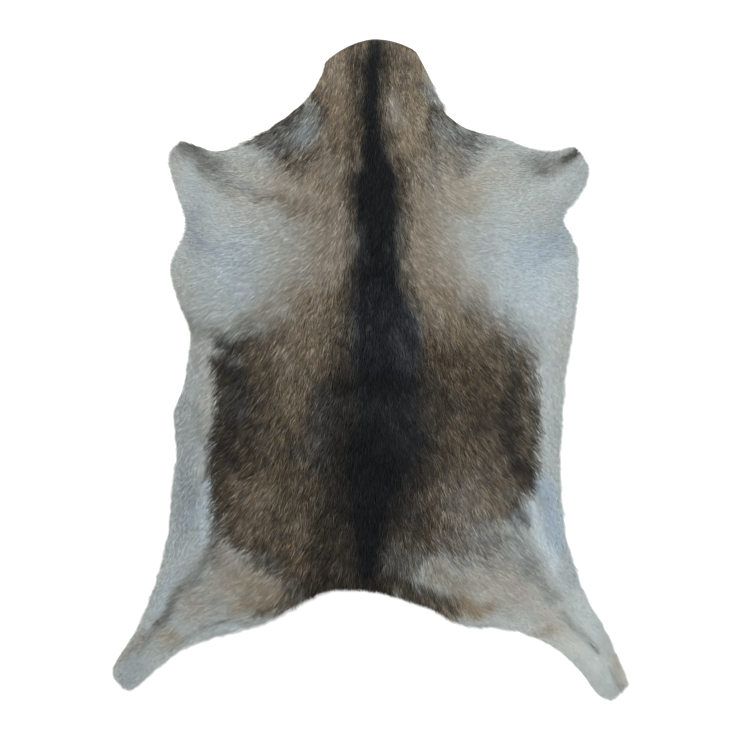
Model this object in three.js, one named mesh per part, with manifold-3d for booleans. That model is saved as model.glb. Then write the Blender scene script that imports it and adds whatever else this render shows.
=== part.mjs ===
// Goatskin rug: one whole hide with its hair on, laid flat, hair side up.
// Millimetres, +Z up, neck towards +Y, skin side flat on z = 0.

import * as THREE from "three";
import { ImprovedNoise } from "three/addons/math/ImprovedNoise.js";
import { mergeVertices } from "three/addons/utils/BufferGeometryUtils.js";
import Module from "manifold-3d";

// Coat: the skin with its hair, from the thin rim up to the deep back
const RIM_HEIGHT = 4.5;
const RIM_SLOPE = 34;
const LEG_DEPTH = 6;
const LUMP_HEIGHT = 3;
const LUMP_LENGTH = 75;
const LUMP_WIDTH = 42;

// Locks of hair at the rim, lying on the floor
const LOCK_WIDTH = 9;
const LOCK_TIP_WIDTH = 2;
const LOCK_HEIGHT = 3;
const LOCK_ROOT = 11;
const LOCK_REACH = 3.6;
const LOCK_LEAST_REACH = 1;
const LOCK_OVERHANG = 1.6;
const LOCK_UNEVEN = 0.55;
const LOCK_BEND = 0.22;
const LOCK_SEED = 7;

// The hair fans out from the withers, lies inwards ahead of the shoulder line,
// and no longer sheds at an edge that faces the neck by this share
const WITHERS = new THREE.Vector2(0, 300);
const SHOULDER_LINE = 330;
const SHOULDER_FADE = 30;
const NECKWARD = 0.5;

// Spacing of the points that shape the edge and the top
const EDGE_STEP = 12;
const TOP_STEP = 15;
const TRIM_MARGIN = 20;
const TRIM_HEIGHT = 60;
const MERGE_DISTANCE = 1e-3;
const NOISE_SLICE = 0.5;

// The hide's outline to the tips of its hair, as [across, along] on each side
const CROWN = [1, 451];
const TAIL = [-25, -299];
const OUTLINE = [
  { mark: "neck brow", left: [-34, 440], right: [34, 447] },
  { mark: "neck corner", left: [-61, 422], right: [60, 436], sharp: "both" },
  { mark: "neck side", left: [-69, 396], right: [78, 402] },
  { mark: "neck base", left: [-92, 365], right: [98, 352], sharp: "right" },
  { mark: "withers edge", left: [-135, 331], right: [128, 330] },
  { mark: "shoulder front", left: [-170, 310], right: [171, 318] },
  { mark: "foreleg dip", left: [-205, 298], right: [237, 296] },
  { mark: "foreleg top", left: [-258, 312], right: [275, 304], sharp: "both" },
  { mark: "foreleg toe", left: [-276, 288], right: [296, 273] },
  { mark: "foreleg heel", left: [-271, 258], right: [292, 250] },
  { mark: "foreleg rear", left: [-260, 226], right: [273, 225] },
  { mark: "armpit", left: [-253, 197], right: [261, 205] },
  { mark: "elbow front", left: [-261, 167], right: [271, 180] },
  { mark: "elbow", left: [-273, 143], right: [281, 155] },
  { mark: "chest", left: [-265, 98], right: [281, 95] },
  { mark: "waist", left: [-247, 52], right: [274, 43] },
  { mark: "belly", left: [-252, -9], right: [264, -13] },
  { mark: "flank knob", left: [-269, -59], right: [260, -66], sharp: "left" },
  { mark: "flank", left: [-265, -116], right: [257, -134] },
  { mark: "stifle", left: [-271, -176], right: [260, -191] },
  { mark: "thigh", left: [-279, -240], right: [269, -245] },
  { mark: "ham", left: [-295, -300], right: [288, -303] },
  { mark: "hock outer", left: [-318, -353], right: [320, -357] },
  { mark: "cannon outer", left: [-341, -387], right: [336, -395] },
  { mark: "hoof outer", left: [-352, -411], right: [351, -426], sharp: "right" },
  { mark: "hoof tip", left: [-329, -436], right: [328, -449] },
  { mark: "hoof inner", left: [-307, -420], right: [307, -439] },
  { mark: "cannon inner", left: [-287, -402], right: [286, -411] },
  { mark: "hock inner", left: [-246, -373], right: [252, -379] },
  { mark: "thigh inner", left: [-197, -359], right: [202, -356] },
  { mark: "rump", left: [-147, -343], right: [120, -344] },
  { mark: "rump dip", left: [-115, -327], right: [92, -329] },
  { mark: "tail corner", left: [-85, -311], right: [48, -313] },
  { mark: "tail side", left: [-61, -301], right: [12, -303] },
];

// Where the coat is deeper than on the legs: each zone swells softly over its reach
const COAT = [
  { zone: "neck", at: [0, 370], reach: [75, 95], depth: 4 },
  { zone: "shoulders", at: [5, 200], reach: [190, 130], depth: 4 },
  { zone: "back", at: [12, -20], reach: [105, 300], depth: 5 },
  { zone: "left side", at: [-135, -90], reach: [110, 190], depth: 4 },
  { zone: "right side", at: [145, -80], reach: [105, 190], depth: 4 },
  { zone: "rump", at: [-10, -250], reach: [180, 80], depth: 2.5 },
];

// Creases and ridges where the skin doesn't lie quite flat
const FOLDS = [
  { fold: "left foreleg crease", from: [-246, 304], to: [-131, 213], rise: -2.6, halfWidth: 15 },
  { fold: "left neck crease", from: [-67, 372], to: [-55, 300], rise: -2, halfWidth: 15 },
  { fold: "right neck crease", from: [90, 350], to: [72, 266], rise: -2, halfWidth: 15 },
  { fold: "back crease", from: [-58, -18], to: [96, -26], rise: -3.4, halfWidth: 17 },
  { fold: "left flank crease", from: [-262, -62], to: [-222, -136], rise: -1.6, halfWidth: 15 },
  { fold: "left flank ridge", from: [-226, -30], to: [-226, -200], rise: 2.2, halfWidth: 16 },
  { fold: "right flank ridge", from: [228, -130], to: [252, -280], rise: 2.4, halfWidth: 16 },
  { fold: "left hind crease", from: [-226, -256], to: [-326, -392], rise: -2.2, halfWidth: 15 },
  { fold: "right hind ridge", from: [308, -360], to: [330, -428], rise: 2.2, halfWidth: 15 },
];

const HAIR_COLOUR = 0x6c645a;
const HAIR_ROUGHNESS = 0.9;

const noise = new ImprovedNoise();
const wasm = await Module();
wasm.setup();

const at = ([across, along]) => new THREE.Vector2(across, along);
const bell = (distance) => Math.exp(-distance * distance);
const unevenly = (spread) => spread * (2 * THREE.MathUtils.seededRandom() - 1);

function toManifold(geometry) {
  const bare = geometry.index ? geometry.toNonIndexed() : geometry.clone();
  bare.deleteAttribute("normal");
  bare.deleteAttribute("uv");
  const merged = mergeVertices(bare, MERGE_DISTANCE);
  const vertProperties = new Float32Array(merged.attributes.position.array);
  const triVerts = new Uint32Array(merged.index.array);
  return new wasm.Manifold(new wasm.Mesh({ numProp: 3, vertProperties, triVerts }));
}

function toGeometry(solid) {
  const mesh = solid.getMesh();
  const geometry = new THREE.BufferGeometry();
  geometry.setAttribute("position", new THREE.BufferAttribute(mesh.vertProperties, 3));
  geometry.setIndex(new THREE.BufferAttribute(mesh.triVerts, 1));
  geometry.computeVertexNormals();
  return geometry;
}

// The marks in order: down the right side to the tail and up the left, from the first sharp one
function outlineMarks() {
  const side = (name) => OUTLINE.map((row) => ({
    point: at(row[name]),
    sharp: row.sharp === name || row.sharp === "both",
  }));
  const crown = { point: at(CROWN), sharp: false };
  const tail = { point: at(TAIL), sharp: false };
  const marks = [crown, ...side("right"), tail, ...side("left").reverse()];
  const first = marks.findIndex((mark) => mark.sharp);
  return [...marks.slice(first), ...marks.slice(0, first), marks[first]];
}

// Smooth curves between sharp marks, cut into even steps
function outlinePoints() {
  const points = [];
  let run = [];
  for (const { point, sharp } of outlineMarks()) {
    run.push(new THREE.Vector3(point.x, point.y, 0));
    if (sharp && run.length > 1) {
      const curve = new THREE.CatmullRomCurve3(run, false, "centripetal");
      const steps = Math.round(curve.getLength() / EDGE_STEP);
      points.push(...curve.getSpacedPoints(steps).slice(0, -1));
      run = [run.at(-1)];
    }
  }
  return points.map((point) => new THREE.Vector2(point.x, point.y));
}

// Each edge point with the way it faces and how far the hair sheds past it
function shedding(points) {
  return points.map((point, index) => {
    const before = points.at(index - 1);
    const after = points[(index + 1) % points.length];
    const along = after.clone().sub(before).normalize();
    const facing = new THREE.Vector2(-along.y, along.x);
    const combed = point.clone().sub(WITHERS).normalize();
    const behind = THREE.MathUtils.smoothstep(SHOULDER_LINE - point.y, 0, SHOULDER_FADE);
    const away = THREE.MathUtils.smoothstep(-facing.y, -NECKWARD, 0);
    const share = behind * away * Math.max(0, facing.dot(combed));
    return { point, facing, combed, reach: share * LOCK_REACH };
  });
}

function distanceToSegment(point, start, end) {
  const run = end.clone().sub(start);
  const share = point.clone().sub(start).dot(run) / run.lengthSq();
  return run.multiplyScalar(THREE.MathUtils.clamp(share, 0, 1)).add(start).distanceTo(point);
}

function isInside(point, edge) {
  let inside = false;
  edge.forEach((end, index) => {
    const start = edge.at(index - 1);
    const crosses = start.y > point.y !== end.y > point.y;
    const share = (point.y - start.y) / (end.y - start.y);
    if (crosses && point.x < start.x + share * (end.x - start.x)) inside = !inside;
  });
  return inside;
}

function coatDepth(point) {
  const swell = COAT.reduce((sum, { at: [x, y], reach: [wide, long], depth }) => {
    return sum + depth * bell(Math.hypot((point.x - x) / wide, (point.y - y) / long));
  }, LEG_DEPTH);
  const folded = FOLDS.reduce((sum, { from, to, rise, halfWidth }) => {
    return sum + rise * bell(distanceToSegment(point, at(from), at(to)) / halfWidth);
  }, 0);
  const lump = LUMP_HEIGHT * noise.noise(point.x / LUMP_WIDTH, point.y / LUMP_LENGTH, NOISE_SLICE);
  return swell + folded + lump;
}

// Height of the hair above the floor: a thin rim that gains the coat's depth inwards
function coatHeight(point, edge) {
  if (!isInside(point, edge)) return RIM_HEIGHT;
  const distances = edge.map((end, index) => distanceToSegment(point, edge.at(index - 1), end));
  const share = THREE.MathUtils.smoothstep(Math.min(...distances), -RIM_SLOPE, RIM_SLOPE);
  return RIM_HEIGHT + (2 * share - 1) * coatDepth(point);
}

// The lumpy slab: a block with its top raised to the coat's height, trimmed to the edge and floor
function slab(edge) {
  const box = new THREE.Box2().setFromPoints(edge).expandByScalar(TRIM_MARGIN);
  const size = box.getSize(new THREE.Vector2());
  const centre = box.getCenter(new THREE.Vector2());
  const columns = Math.round(size.x / TOP_STEP);
  const rows = Math.round(size.y / TOP_STEP);
  const block = new THREE.BoxGeometry(size.x, size.y, TRIM_MARGIN, columns, rows, 1);
  block.translate(centre.x, centre.y, 0);
  const places = block.attributes.position;
  for (let index = 0; index < places.count; index += 1) {
    const place = new THREE.Vector2(places.getX(index), places.getY(index));
    places.setZ(index, places.getZ(index) > 0 ? coatHeight(place, edge) : -TRIM_MARGIN);
  }
  const trim = new THREE.ExtrudeGeometry(new THREE.Shape(edge), {
    depth: TRIM_HEIGHT,
    bevelEnabled: false,
  });
  return toManifold(block).intersect(toManifold(trim));
}

// One flat-bottomed lock: a tapered leaf from its root inside the slab to its tip on the floor
function lock({ point, facing, combed, reach }) {
  const tip = LOCK_OVERHANG * reach * (1 + unevenly(LOCK_UNEVEN));
  const bend = unevenly(LOCK_BEND) * (LOCK_ROOT + tip);
  const heading = facing.clone().add(combed).normalize();
  const half = LOCK_WIDTH / 2;
  const halfTip = LOCK_TIP_WIDTH / 2;
  const leaf = new THREE.Shape([
    new THREE.Vector2(-LOCK_ROOT, -half),
    new THREE.Vector2(0, -half),
    new THREE.Vector2(tip, bend - halfTip),
    new THREE.Vector2(tip, bend + halfTip),
    new THREE.Vector2(0, half),
    new THREE.Vector2(-LOCK_ROOT, half),
  ]);
  const geometry = new THREE.ExtrudeGeometry(leaf, { depth: LOCK_HEIGHT, bevelEnabled: false });
  geometry.rotateZ(heading.angle());
  geometry.translate(point.x, point.y, 0);
  return toManifold(geometry);
}

// The skin's edge lies inside the outline by the hair's reach, with a lock at each point that sheds
function hide() {
  const rim = shedding(outlinePoints());
  rim.forEach((spot) => spot.point.addScaledVector(spot.facing, -spot.reach));
  const edge = rim.map((spot) => spot.point);
  const shaggy = rim.filter((spot) => spot.reach > LOCK_LEAST_REACH);
  THREE.MathUtils.seededRandom(LOCK_SEED);
  const solid = shaggy.reduce((body, spot) => body.add(lock(spot)), slab(edge));
  const material = new THREE.MeshStandardMaterial({
    color: HAIR_COLOUR,
    roughness: HAIR_ROUGHNESS,
    metalness: 0,
  });
  const mesh = new THREE.Mesh(toGeometry(solid), material);
  mesh.name = "hide";
  return mesh;
}

const group = new THREE.Group();
group.add(hide());

export default group;
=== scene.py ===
"""Looks of a goatskin rug: the skin as a thin sheet, and its coat grown over it strand by strand."""

import math
from functools import lru_cache

import bmesh
import bpy
import numpy as np
from bpy.props import FloatProperty, FloatVectorProperty, IntProperty, PointerProperty
from bpy.types import NodeSocket, Operator, Panel, PropertyGroup
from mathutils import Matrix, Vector
from mathutils.bvhtree import BVHTree
from mathutils.geometry import delaunay_2d_cdt


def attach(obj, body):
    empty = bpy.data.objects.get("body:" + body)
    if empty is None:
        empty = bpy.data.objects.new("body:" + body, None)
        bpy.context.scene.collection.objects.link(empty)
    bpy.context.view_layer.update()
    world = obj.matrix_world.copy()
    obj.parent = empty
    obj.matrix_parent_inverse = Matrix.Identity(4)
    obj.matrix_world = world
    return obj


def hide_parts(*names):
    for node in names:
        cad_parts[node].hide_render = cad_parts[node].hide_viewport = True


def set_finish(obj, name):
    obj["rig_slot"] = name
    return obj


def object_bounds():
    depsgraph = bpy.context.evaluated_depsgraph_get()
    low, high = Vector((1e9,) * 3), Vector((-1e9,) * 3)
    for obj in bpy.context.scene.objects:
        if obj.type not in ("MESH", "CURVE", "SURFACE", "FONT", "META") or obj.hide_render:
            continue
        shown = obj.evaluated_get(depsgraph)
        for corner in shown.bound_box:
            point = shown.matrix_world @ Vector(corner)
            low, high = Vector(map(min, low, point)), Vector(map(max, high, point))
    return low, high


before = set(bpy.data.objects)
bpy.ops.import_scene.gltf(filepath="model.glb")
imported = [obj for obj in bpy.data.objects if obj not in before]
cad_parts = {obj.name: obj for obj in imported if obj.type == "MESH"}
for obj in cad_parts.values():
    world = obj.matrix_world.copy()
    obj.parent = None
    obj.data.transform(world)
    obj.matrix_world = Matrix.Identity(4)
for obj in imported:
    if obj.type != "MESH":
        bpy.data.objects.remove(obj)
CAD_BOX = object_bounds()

bl_info = {
    "name": "Goatskin rug",
    "version": (1, 0, 0),
    "blender": (4, 5, 0),
    "location": "View3D > Sidebar > Goatskin",
    "description": "Builds a goat hide rug with its skin, undercoat, topcoat and rim hair",
    "category": "Object",
}

MM = 0.001
HIDE = "hide"
PHOTO_PIXELS = 742

# How the hair lies, for the right side of the back, and mirrored on the left.
# Places are millimetres across and along, the lean is degrees outwards from straight
# towards the tail, the length is millimetres and the lift is degrees off the skin.
HAIR_RUN = (
    # place, across, along, lean, length, lift
    ("poll", 0, 430, 0, 15, 16),
    ("neck", 40, 400, 18, 18, 18),
    ("neck edge", 80, 335, 26, 18, 18),
    ("withers", 0, 300, 0, 22, 22),
    ("neck side", 98, 305, 40, 20, 18),
    ("shoulder top", 60, 250, 26, 22, 18),
    ("shoulder front", 160, 295, 66, 17, 14),
    ("shoulder", 115, 200, 52, 19, 14),
    ("foreleg root", 180, 258, 88, 14, 12),
    ("foreleg", 212, 226, 106, 13, 11),
    ("foreleg end", 250, 265, 122, 10, 10),
    ("elbow top", 130, 158, 62, 18, 14),
    ("elbow", 185, 158, 78, 16, 12),
    ("armpit", 240, 190, 95, 13, 11),
    ("elbow rear", 205, 110, 56, 17, 12),
    ("chest", 130, 90, 36, 22, 18),
    ("chest edge", 245, 90, 48, 15, 11),
    ("back front", 0, 180, 0, 24, 22),
    ("ribs", 90, 60, 16, 22, 22),
    ("ribs side", 160, 50, 37, 22, 20),
    ("ribs edge", 205, 40, 44, 20, 18),
    ("back", 0, 0, 0, 25, 24),
    ("side", 100, -46, 19, 23, 22),
    ("side edge", 196, -46, 44, 21, 20),
    ("flank", 100, -114, 19, 24, 22),
    ("flank edge", 196, -114, 50, 22, 20),
    ("loin", 0, -140, 0, 26, 24),
    ("haunch", 100, -182, 15, 24, 22),
    ("haunch edge", 190, -182, 38, 21, 20),
    ("rump", 55, -250, 18, 24, 22),
    ("rump side", 125, -250, 38, 21, 19),
    ("thigh", 195, -284, 58, 18, 14),
    ("tail", 0, -285, 0, 23, 20),
    ("gaskin", 235, -320, 56, 14, 12),
    ("hock", 266, -352, 46, 12, 11),
    ("cannon", 300, -386, 44, 11, 10),
    ("hoof", 330, -420, 36, 10, 10),
    ("belly", 248, 0, 10, 15, 11),
    ("belly rear", 250, -120, 14, 15, 11),
    ("stifle", 262, -210, 15, 14, 11),
)
RUN_BLEND = 34
LONG_HAIR = 25 * MM
# A strand is widest at this share of its length.
WIDEST = 0.45
# A pale, sleek strand keeps these shares of its stray and its width.
SLEEK_STRAY = 0.35
SLEEK_WIDTH = 0.75
# Short hair covers less of its neighbours, so single strands tell apart more, up to this much.
MOST_CONTRAST = 1.5
LIGHTEST_TONE = 1.05

# A strand takes the colour painted under this share of its length, give or take the mixing along
# it and the swing to its sides, which are in full where hairs of many colours stand together.
# The locks' mixing moves the strands of a streak together, so that streaks cross the borders.
SHOWN_SHARE = 0.6
MIXING = 7 * MM
LOCK_MIXING = 36 * MM
SWING = math.radians(26)
# Streaks of like strands follow the hair's run, drawn out this much and blended from this
# many directions, the closer the steeper.
STREAK_SQUEEZE = 0.22
STREAK_TURNS = 6
STREAK_STEEPNESS = 6.0
# How much softer the borders of plain markings are painted than those of mottled ones, which
# the mixing softens.
BORDER_SPREAD = 0.4
# How far a strand's own normals give way to the skin's, as soft fur scatters light.
PALE_SOFTNESS = 0.97
MOTTLED_SOFTNESS = 0.8
# The ticking between which sleek hair, soft hair and the skin under it turn into mottled ones.
SLEEK_TICKING = (0.1, 0.6)
SOFT_TICKING = (0.1, 0.7)
SKIN_TICKING = (0.25, 0.8)
# The skin's lightness under pale and under mottled hair, as shares of the coat's: painted shade
# between mottled strands, and painted light under pale hair that offsets the strands' shadows.
PALE_SKIN_LIGHT = 1.2
MOTTLED_SKIN_SHADE = 0.45

# How much single strands differ from the usual length, width and lift.
LENGTH_RANGE = (0.6, 1.25)
WIDTH_RANGE = (0.65, 1.3)
LIFT_RANGE = (0.55, 1.35)
# The shortest hair is this fine, as a share of the width of long hair.
SHORT_WIDTH = 0.5
# How dense hair of no length would stand, and how much of that is lost up to long hair.
SHORT_DENSITY = 1.5
DENSITY_LOSS = 0.6
# How far the middle of a strand is bowed upwards, as a share of its length.
STRAND_BOW = 0.09
STRAND_POINTS = 4
# The random draws of a strand, each with its own number.
TONE_DRAW, STRAY_DRAW, LIFT_DRAW, LENGTH_DRAW, WIDTH_DRAW, MIXING_DRAW, SWING_DRAW = range(1, 8)
# How fine the noises are that turn, mix and tone the strands, in waves to a metre.
TUFT_SCALE = 110.0
DRIFT_SCALE = 24.0
LOCK_SCALE = 120.0
STREAK_SCALE = 230.0
PATCH_SCALE = 42.0
# How much of a strand's tone is its own, its streak's and its patch's.
OWN_TONE = 0.76
STREAK_TONE = 1.6
PATCH_TONE = 0.44
CONTRAST_POWER = 0.45

# Where a strand's root is shaded, its tip is light and its dark tip shows, as shares of its length.
ROOT_PART = (0.0, 0.4)
TIP_PART = (0.5, 1.0)
BAND_PART = (0.6, 0.95)
# The lightness between the mean and the lightest strand, at full ticking.
TONE_BASE = 2.6
# The shuffle makes a second random value of a strand's tone.
SHUFFLE = 13.7
PLAIN_TIPS = 0.62
BAND_DEPTH = 0.55
MEAN_SATURATION = 0.88
SATURATION_SPREAD = 0.9
LEAST_ROUGHNESS = 0.42
ROUGHNESS_SPREAD = 0.18
HAIR_SPECULAR = 0.1

# The coat is painted in shares of display light, as the eye sees it.
DISPLAY_GAMMA = 2.2
# Points closer than this are one, and inner points keep this share of a step off the edge.
WELD = 1e-6
EDGE_CLEARANCE = 0.6
# The shares of its length to which a strand may be cut back at the edge.
TRIM_SHARES = np.linspace(0.2, 1, 9)
# The margin of a strand's cell in the bake map.
CELL_MARGIN = 0.1

SUEDE = (0.56, 0.46, 0.34, 1)
SKY_COLOUR = (0.94, 0.97, 1.0, 1)
FLOOR_SIDES = 96
SENSOR_WIDTH = 36.0
LAMPS = {
    # lamp: place and size in metres, colour
    "key": ((-1.3, 1.5, 3.4), 2.2, (1.0, 0.98, 0.95)),
    "fill": ((1.8, -0.9, 3.2), 2.6, (0.93, 0.97, 1.0)),
}
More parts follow.
